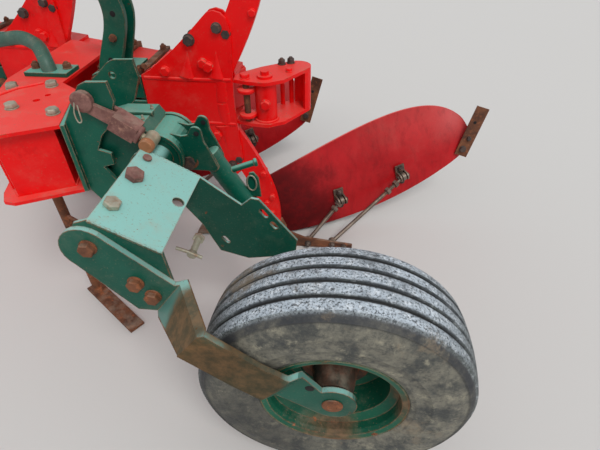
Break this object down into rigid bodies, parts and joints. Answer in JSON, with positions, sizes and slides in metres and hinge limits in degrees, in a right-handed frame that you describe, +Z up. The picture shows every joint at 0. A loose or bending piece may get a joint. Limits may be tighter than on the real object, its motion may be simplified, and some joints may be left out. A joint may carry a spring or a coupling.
{
  "type": "moldboard plough",
  "caption": "Mounted reversible moldboard plough with mirrored upper and lower bodies on a diagonal beam, skimmers, a depth wheel on a swing arm, a parking leg and a turnover headstock.",
  "frame": {"origin": "on the ground under the middle of the plough's outline", "axes": "+X the way the plough travels, +Y its left, towards the depth wheel, +Z up"},
  "size_m": [3.9497, 2.2758, 1.51],
  "materials": {
    "red_paint": "bright red gloss paint, dusty, chipped at edges and bolts",
    "board_paint": "dark crimson paint on the backs of the mouldboards, soil stained",
    "green_paint": "teal green paint, worn through to rust at edges",
    "rusted_steel": "brown surface rust",
    "worn_steel": "grey-brown worn steel",
    "tyre_rubber": "weathered grey rubber with dried mud"
  },
  "bodies": {
    "frame": {"main_beam": "red_paint", "front_frame": "red_paint", "turnover_hub": "red_paint", "bracket_rear": "red_paint", "bracket_middle": "red_paint", "bracket_front": "red_paint", "end_yoke": "red_paint", "yoke_barrel": "red_paint", "legs_lower": "red_paint", "legs_upper": "red_paint", "frogs_lower": "rusted_steel", "frogs_upper": "rusted_steel", "mouldboard_lower_rear": "board_paint", "mouldboard_lower_middle": "board_paint", "mouldboard_lower_front": "board_paint", "mouldboard_upper_rear": "board_paint", "mouldboard_upper_middle": "board_paint", "mouldboard_upper_front": "board_paint", "shares_lower": "rusted_steel", "shares_upper": "rusted_steel", "points_lower": "rusted_steel", "points_upper": "rusted_steel", "landsides_lower": "rusted_steel", "landsides_upper": "rusted_steel", "tail_pieces": "rusted_steel", "stays_lower": "worn_steel", "stays_upper": "worn_steel", "skimmer_clamps": "green_paint", "skimmer_stems": "green_paint", "skimmers_lower": "green_paint", "skimmers_upper": "green_paint", "carrier_plates": "red_paint", "carrier_box": "red_paint", "wheel_bracket": "green_paint", "pivot_housing": "green_paint", "depth_screw": "rusted_steel", "latch": "green_paint"},
    "wheel_arm": {"arm_channel": "green_paint", "arm_bar": "green_paint"},
    "wheel": {"wheel_hub": "rusted_steel", "rim": "green_paint", "tyre": "tyre_rubber"},
    "stand": {"stand_leg": "rusted_steel"},
    "headstock": {"turnover_shaft": "worn_steel", "headstock_beam": "red_paint", "headstock_cheeks": "red_paint", "mast": "red_paint", "link_pins": "worn_steel", "turnover_cylinder": "red_paint", "cylinder_rod": "worn_steel"}
  },
  "joints": [
    {"name": "depth_arm", "type": "hinge", "parent": "frame", "child": "wheel_arm", "pos_m": [-0.665, 0.585, 0.755], "axis": [0, 1, 0], "range_deg": [-15, 10]},
    {"name": "wheel_spin", "type": "hinge", "parent": "wheel_arm", "child": "wheel", "pos_m": [-1.28, 0.985, 0.38], "axis": [0, 1, 0], "continuous": true},
    {"name": "stand_slide", "type": "slide", "parent": "frame", "child": "stand", "axis": [0, 0, 1], "range_m": [0, 0.15]},
    {"name": "turnover", "type": "hinge", "parent": "frame", "child": "headstock", "pos_m": [1.67, -0.245, 0.755], "axis": [1, 0, 0], "range_deg": [0, 180]}
  ]
}
